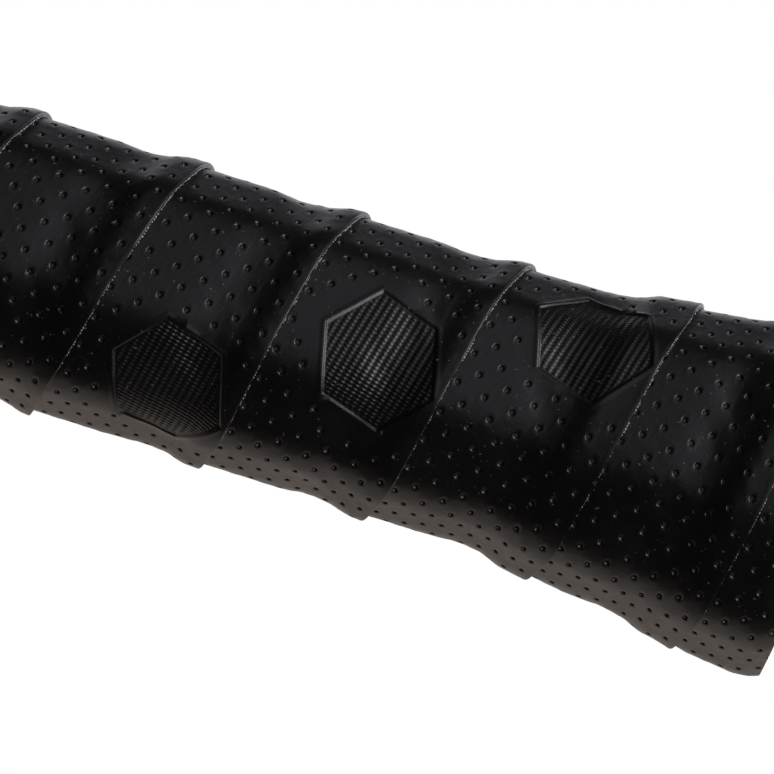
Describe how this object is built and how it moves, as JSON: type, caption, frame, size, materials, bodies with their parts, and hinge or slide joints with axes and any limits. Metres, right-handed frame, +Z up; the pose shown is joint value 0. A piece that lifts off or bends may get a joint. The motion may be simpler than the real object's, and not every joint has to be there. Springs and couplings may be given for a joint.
{
  "type": "wound racket handle",
  "caption": "Octagonal racket handle with a flared butt, wound with perforated overgrip tape in overlapping turns over a cushioned base grip, with a sliding rubber collar.",
  "frame": {"origin": "mouth of the cord hole, in the middle of the butt's end face", "axes": "+X along the handle and out of the butt, +Z up, square to one of the handle's wide flats"},
  "size_m": [0.177, 0.0384, 0.0384],
  "materials": {
    "carbon": "satin woven carbon composite",
    "filling_foam": "matt open foam",
    "moulded_foam": "matt moulded structural foam",
    "cap_plastic": "fine grained moulded nylon",
    "steel": "drawn wire",
    "felt": "matt needled felt",
    "base_grip_skin": "satin polyurethane",
    "vinyl_tape": "smooth satin vinyl",
    "paper_tab": "matt paper",
    "tape_fibre": "matt non-woven fibre",
    "tape_skin": "satin perforated polyurethane",
    "collar_rubber": "satin rubber"
  },
  "bodies": {
    "handle": {"frame_tube_left": "carbon", "frame_tube_right": "carbon", "tube_foam_left": "filling_foam", "tube_foam_right": "filling_foam", "leg_spacer": "filling_foam", "handle_shell_upper": "moulded_foam", "handle_shell_lower": "moulded_foam", "butt_cap": "cap_plastic", "butt_cap_staples": "steel", "base_grip_backing": "felt", "base_grip_skin": "base_grip_skin", "base_grip_tack": "steel", "base_grip_finishing_tape": "vinyl_tape", "overgrip_starter_tab": "paper_tab", "overgrip_backing": "tape_fibre", "overgrip_skin": "tape_skin", "overgrip_finishing_tape": "vinyl_tape"},
    "collar": {"collar": "collar_rubber"}
  },
  "joints": [
    {"name": "collar_slide", "type": "slide", "parent": "handle", "child": "collar", "axis": [-1, 0, 0], "range_m": [0, 0.015]}
  ]
}
